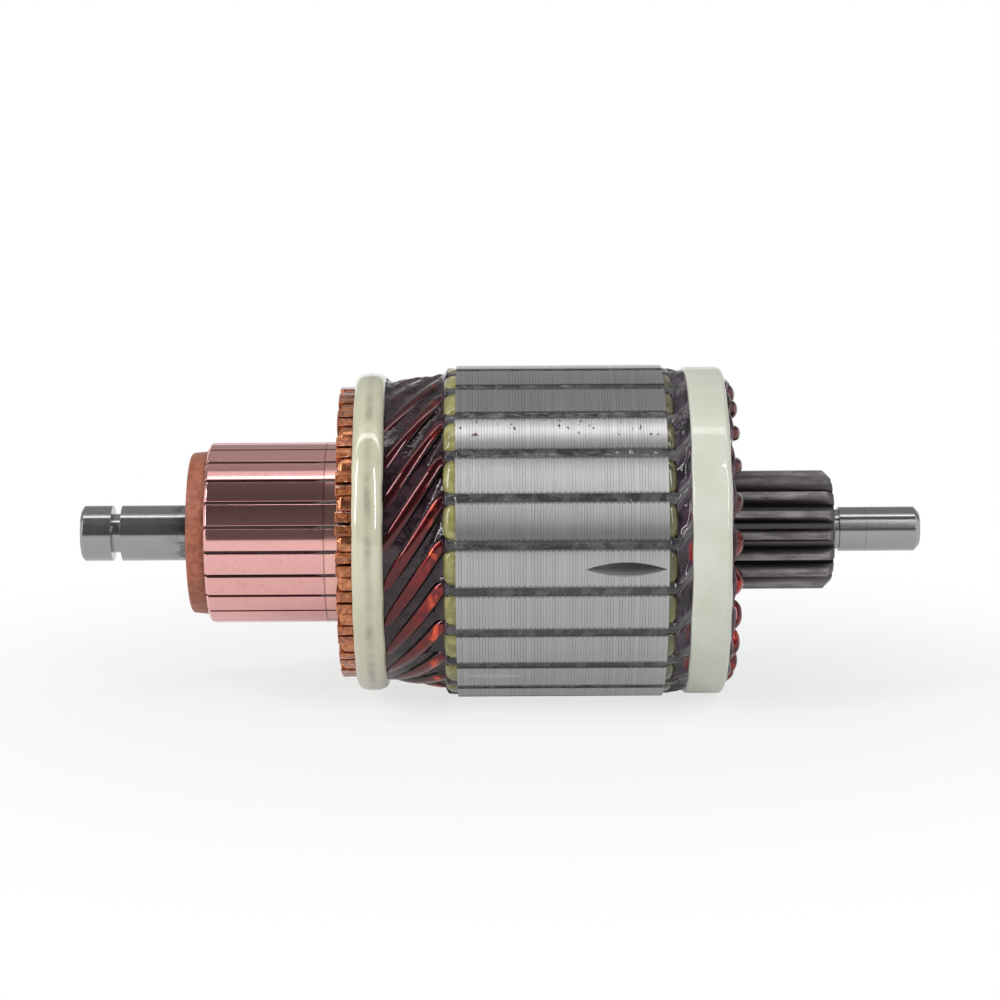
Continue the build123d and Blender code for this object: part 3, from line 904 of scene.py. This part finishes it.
def make_riser_varnish(material):
    """Varnish that fills the corner between the risers and the cord band."""
    profile = [
        (RISER_END - 0.5, RISER_RADIUS - 0.5),
        (RISER_END - 0.25, RISER_RADIUS - 0.02),
        (RISER_END + 0.15, RISER_RADIUS + 0.3),
        (LEFT_BAND[0] + 0.1, RISER_RADIUS + 0.75),
        (LEFT_BAND[0] + 0.5, RISER_RADIUS + 1.0),
        (LEFT_BAND[0] + 0.9, RISER_RADIUS - 0.5),
    ]
    turns = np.linspace(0, 360, 460, endpoint=False)
    field = smooth_field(len(profile), len(turns), 3, 70)

    def wobble(i, j):
        return (0.12 * field[i, j], 0.12 * field[i, j])

    points = ring_points(profile, turns, wobble)
    faces = grid_faces(len(turns), len(profile), wrap_rows=True, wrap_columns=True)
    make_piece("riser_varnish", points, faces, material)


# Insulators and bands


def make_fingers(name, node, face, facing, thickness, extra, material):
    """End insulator with a rounded finger on every tooth."""
    points, faces = [], []
    nose = 7
    sides = 9

    def outline(step):
        """Turn of the nose, radius and half width of a finger at one step down from its tip."""
        t = min(step / nose, 1.0) * math.pi / 2
        tip = CORE_RADIUS - 0.4 - FINGER_NOSE * (1 - math.cos(t))
        radius = tip if step <= nose else FINGER_FOOT
        half = radius * math.tan(math.radians(PITCH / 2)) - SLOT_WIDTH / 2 + extra
        return t, radius, half

    for tooth in range(SLOTS):
        angle = FIRST_SLOT + (tooth + 0.5) * PITCH
        first = len(points)
        for i in range(nose + 2):
            t, radius, half = outline(i)
            for j in range(sides):
                u = -1 + 2 * j / (sides - 1)
                rounding = abs(u) ** 4
                x = face + facing * (thickness * math.sin(t) ** 0.8 - 0.45 * rounding * math.sin(t))
                lowered = radius - 0.4 * rounding * math.cos(t)
                points.append(around(x, lowered, angle + math.degrees(u * half / lowered)))
        faces += grid_faces(nose + 2, sides, first=first)
        for j in (0, sides - 1):
            first_edge = len(points)
            for i in range(nose + 2):
                radius, half = outline(i)[1:]
                u = -1 if j == 0 else 1
                points.append(around(face, radius - 0.3, angle + math.degrees(u * half / radius)))
            for i in range(nose + 1):
                quad = (
                    first + i * sides + j,
                    first + (i + 1) * sides + j,
                    first_edge + i + 1,
                    first_edge + i,
                )
                faces.append(quad if j == 0 else quad[::-1])
    bore, rim = SEAT_RADIUS + 0.05, FINGER_FOOT + 0.3
    far = face + facing * DISC_THICKNESS
    ring = [(face, bore), (far, bore), (far, rim), (face, rim)]
    first = len(points)
    turns = np.linspace(0, 360, 96, endpoint=False)
    points += ring_points(ring, turns)
    faces += grid_faces(len(turns), len(ring), wrap_rows=True, wrap_columns=True, first=first)
    piece = make_piece(name, points, faces, material)
    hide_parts(node)


def make_band(name, node, profile, amount, material):
    """Cord band turned from its rounded profile, a little uneven round its edges."""
    turns = np.linspace(0, 360, 276, endpoint=False)
    field = smooth_field(len(profile), len(turns), 4, 34)
    edge = smooth_field(len(profile), len(turns), 3, 46)

    def wobble(i, j):
        return (amount * edge[i, j], amount * 0.6 * field[i, j])

    points = ring_points(profile, turns, wobble)
    faces = grid_faces(len(turns), len(profile), wrap_rows=True, wrap_columns=True)
    piece = make_piece(name, points, faces, material)
    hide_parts(node)


def left_band_profile():
    """Half oval over a flat inside."""
    start, end = LEFT_BAND
    inner, crown = LEFT_BAND_RADIUS - 1.75, LEFT_BAND_RADIUS - 0.1
    middle, half = (start + end) / 2, (end - start) / 2 - 0.08
    steps = 20
    profile = []
    for k in range(steps + 1):
        t = math.pi * k / steps
        x = middle - half * signed_power(math.cos(t), 0.8)
        profile.append((x, inner + (crown - inner) * math.sin(t) ** 0.72))
    return profile


def right_band_profile():
    """Flat outside with rounded corners."""
    start, end = RIGHT_BAND[0] + 0.12, RIGHT_BAND[1] - 0.12
    outer = RIGHT_BAND_RADIUS - 0.15
    inner = outer - 1.25
    profile = [(start, inner)]
    for x, radius, size, first in (
        (start + 0.5, outer - 0.5, 0.5, 180),
        (end - 1.0, outer - 0.9, 0.95, 90),
    ):
        for k in range(7):
            t = math.radians(first - 15 * k)
            profile.append((x + size * math.cos(t), radius + size * 0.95 * math.sin(t)))
    profile.append((end, inner))
    return profile


# Edges of the metal pieces


def soften_edges(node, width):
    """Small rounded edges on a carried-over CAD node, at corners of over 35 degrees."""
    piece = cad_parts[node]
    weld = piece.modifiers.new("weld", "WELD")
    weld.merge_threshold = 0.000002
    bevel = piece.modifiers.new("edges", "BEVEL")
    bevel.width = width * MM
    bevel.segments = 2
    bevel.limit_method = "ANGLE"
    bevel.angle_limit = math.radians(35)
    bevel.harden_normals = True
    bevel.use_clamp_overlap = True


def dress(node, material):
    """Gives a CAD node its finish."""
    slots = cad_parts[node].data.materials
    slots.clear()
    slots.append(material)


# Studio; the photograph's places and focal length are in pixels, its tilts in degrees

PHOTO_SIZE = 1000
AXIS_ROW = 530.9
FOOT_COLUMN = 498.0
MIDDLE_COLUMN = 500.4
FOCAL_LENGTH = 2840.0
MM_PER_PIXEL = 0.1805
ELEVATION = 8.8
ROLL = 0.33
SENSOR_WIDTH = 36.0
FLOOR_GAP = 0.00002
CARD_HALF_WIDTH = 1.2


def make_camera():
    """Camera at the photograph's height and distance, with the shaft a little below the middle."""
    data = bpy.data.cameras.new("camera")
    camera = bpy.data.objects.new("camera", data)
    bpy.context.scene.collection.objects.link(camera)
    data.sensor_width = SENSOR_WIDTH
    data.sensor_fit = "HORIZONTAL"
    data.lens = SENSOR_WIDTH * FOCAL_LENGTH / PHOTO_SIZE
    distance = FOCAL_LENGTH * MM_PER_PIXEL * MM
    rise = math.radians(ELEVATION)
    side = (FOOT_COLUMN - MIDDLE_COLUMN) * MM_PER_PIXEL * MM
    camera.location = (side, -distance * math.cos(rise), distance * math.sin(rise))
    pitch = math.atan((AXIS_ROW - PHOTO_SIZE / 2) / FOCAL_LENGTH) - rise
    yaw = -math.atan((PHOTO_SIZE / 2 - FOOT_COLUMN) / FOCAL_LENGTH)
    look = Matrix.Rotation(yaw, 4, "Z") @ Matrix.Rotation(math.radians(90) + pitch, 4, "X")
    look = look @ Matrix.Rotation(math.radians(-ROLL), 4, "Z")
    camera.rotation_mode = "QUATERNION"
    camera.rotation_quaternion = look.to_quaternion()
    data.clip_start, data.clip_end = 0.01, 20.0
    bpy.context.scene.camera = camera


def make_lamp(name, place, size, power):
    """Soft rectangular lamp that points at the origin."""
    data = bpy.data.lights.new(name, "AREA")
    data.shape = "RECTANGLE"
    data.size, data.size_y = size
    data.energy = power
    lamp = bpy.data.objects.new(name, data)
    lamp.location = place
    aim = -Vector(place)
    lamp.rotation_mode = "QUATERNION"
    lamp.rotation_quaternion = aim.to_track_quat("-Z", "Y")
    bpy.context.scene.collection.objects.link(lamp)


def make_card(name, first_edge, last_edge, tone):
    """Studio card between two edges at (y, z), which only reflections show."""
    half = CARD_HALF_WIDTH
    corners = [(-half, *first_edge), (half, *first_edge), (half, *last_edge), (-half, *last_edge)]
    mesh = bpy.data.meshes.new(name)
    mesh.from_pydata(corners, [], [(0, 1, 2, 3)])
    card = bpy.data.objects.new(name, mesh)
    material, tree, shader = new_material(name)
    set_inputs(tree, shader, Base_Color=(tone, tone, tone), Roughness=0.9)
    shader.inputs["Specular IOR Level"].default_value = 0.0
    mesh.materials.append(material)
    bpy.context.scene.collection.objects.link(card)
    card.visible_camera = False
    card.visible_diffuse = False
    card.visible_shadow = False


def seen_directly(tree):
    """The light path, and one for rays that show a surface in place of lighting it."""
    path = add(tree, "LightPath")
    seen = maths(tree, "MAXIMUM", path.outputs["Is Camera Ray"], path.outputs["Is Glossy Ray"])
    return path, maths(tree, "MAXIMUM", seen, path.outputs["Is Transmission Ray"])


def make_floor():
    """Pale floor under the core, which keeps the soft shadow and fades into the backdrop."""
    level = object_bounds()[0].z - FLOOR_GAP
    reach = 3.0
    places = ((-reach, -reach), (reach, -reach), (reach, reach), (-reach, reach))
    mesh = bpy.data.meshes.new("floor")
    mesh.from_pydata([(x, y, level) for x, y in places], [], [(0, 1, 2, 3)])
    floor = bpy.data.objects.new("floor", mesh)
    bpy.context.scene.collection.objects.link(floor)
    material, tree, shader = new_material("floor")
    set_inputs(tree, shader, Base_Color=(0.86, 0.86, 0.86), Roughness=0.9)
    shader.inputs["Specular IOR Level"].default_value = 0.0
    path, seen = seen_directly(tree)
    place = add(tree, "NewGeometry").outputs["Position"]
    away = add(tree, "VectorMath", {0: place}, operation="LENGTH").outputs["Value"]
    fade = ramp(tree, away, 0.06, 0.16, 0.72, 1.0)
    # In reflections the floor glows less close under the object: a painted shadow over the real one.
    under = ramp(tree, away, 0.03, 0.09, 0.45, 1.0)
    under = maths(tree, "MAXIMUM", under, path.outputs["Is Camera Ray"])
    glow = add(tree, "Emission", {"Color": (1, 1, 1, 1), "Strength": 1.0})
    share = maths(tree, "MULTIPLY", seen, maths(tree, "MULTIPLY", fade, under))
    mix = add(tree, "MixShader", {0: share})
    tree.links.new(shader.outputs[0], mix.inputs[1])
    tree.links.new(glow.outputs[0], mix.inputs[2])
    tree.links.new(mix.outputs[0], tree.nodes["Material Output"].inputs["Surface"])
    mesh.materials.append(material)


def make_world():
    """White to the camera and in reflections, dimmer as a light."""
    world = bpy.data.worlds.new("studio")
    bpy.context.scene.world = world
    world.use_nodes = True
    tree = world.node_tree
    seen = seen_directly(tree)[1]
    strength = maths(tree, "ADD", 0.4, maths(tree, "MULTIPLY", seen, 0.6))
    background = tree.nodes["Background"]
    background.inputs["Color"].default_value = (1, 1, 1, 1)
    tree.links.new(strength, background.inputs["Strength"])


# Build

shaft_steel = make_shaft_steel()
core_steel = make_core_steel()
copper = make_copper()
moulding = make_moulding()
enamel = make_enamel()
dark_varnish = make_varnish("coil_varnish", (0.013, 0.006, 0.010), (0.042, 0.019, 0.028))
grey_varnish = make_varnish("slot_varnish", (0.045, 0.043, 0.046), (0.10, 0.095, 0.10))
knuckle_varnish = make_varnish("knuckle_varnish", (0.035, 0.008, 0.016), (0.10, 0.045, 0.07))
pale_fibre = make_fibre("end_insulation", (0.20, 0.18, 0.04), (0.38, 0.36, 0.13))
# The drive-end insulator takes a darker copy of the same board: painted shade.
painted_shade_fibre = make_fibre("end_insulation_dark", (0.06, 0.055, 0.014), (0.16, 0.15, 0.05))

dress("shaft", shaft_steel)
dress("core", core_steel)
dress("commutator_hub", moulding)
dress("slot_liners", make_paper())
soften_edges("shaft", 0.12)
soften_edges("commutator_hub", 0.1)
for number in range(1, SLOTS + 1):
    dress(f"bar_{number:02d}", copper)
    soften_edges(f"bar_{number:02d}", 0.12)
    make_coil(number, enamel)
make_left_varnish(dark_varnish)
make_slot_varnish(grey_varnish)
make_right_varnish(make_end_varnish())
make_knuckle_varnish(knuckle_varnish)
make_riser_varnish(grey_varnish)
make_fingers("commutator_end_fingers", "commutator_end_insulator", CORE_START, -1, 2.1, 0.5, pale_fibre)
make_fingers("drive_end_fingers", "drive_end_insulator", CORE_END, 1, 1.5, 0.4, painted_shade_fibre)
left_cord = make_cord("cord_left", True)
right_cord = make_cord("cord_right", False)
make_band("commutator_end_cord", "commutator_end_band", left_band_profile(), 0.08, left_cord)
make_band("drive_end_cord", "drive_end_band", right_band_profile(), 0.1, right_cord)

make_camera()
make_world()
make_floor()
make_lamp("overhead", (0.0, -0.12, 0.75), (1.3, 0.07), 0.9)
make_lamp("left_strip", (-0.60, -0.42, 0.44), (0.13, 0.66), 3.3)
make_lamp("right_strip", (0.36, -0.64, 0.44), (0.08, 0.66), 2.1)
make_card("front_card", (-0.95, -0.02), (-0.85, 0.8), 0.2)
make_card("upper_card", (-0.85, 0.8), (-0.25, 1.05), 0.2)
make_card("back_card", (0.6, 0.2), (0.05, 1.05), 0.5)
bpy.context.scene.view_settings.view_transform = "Standard"
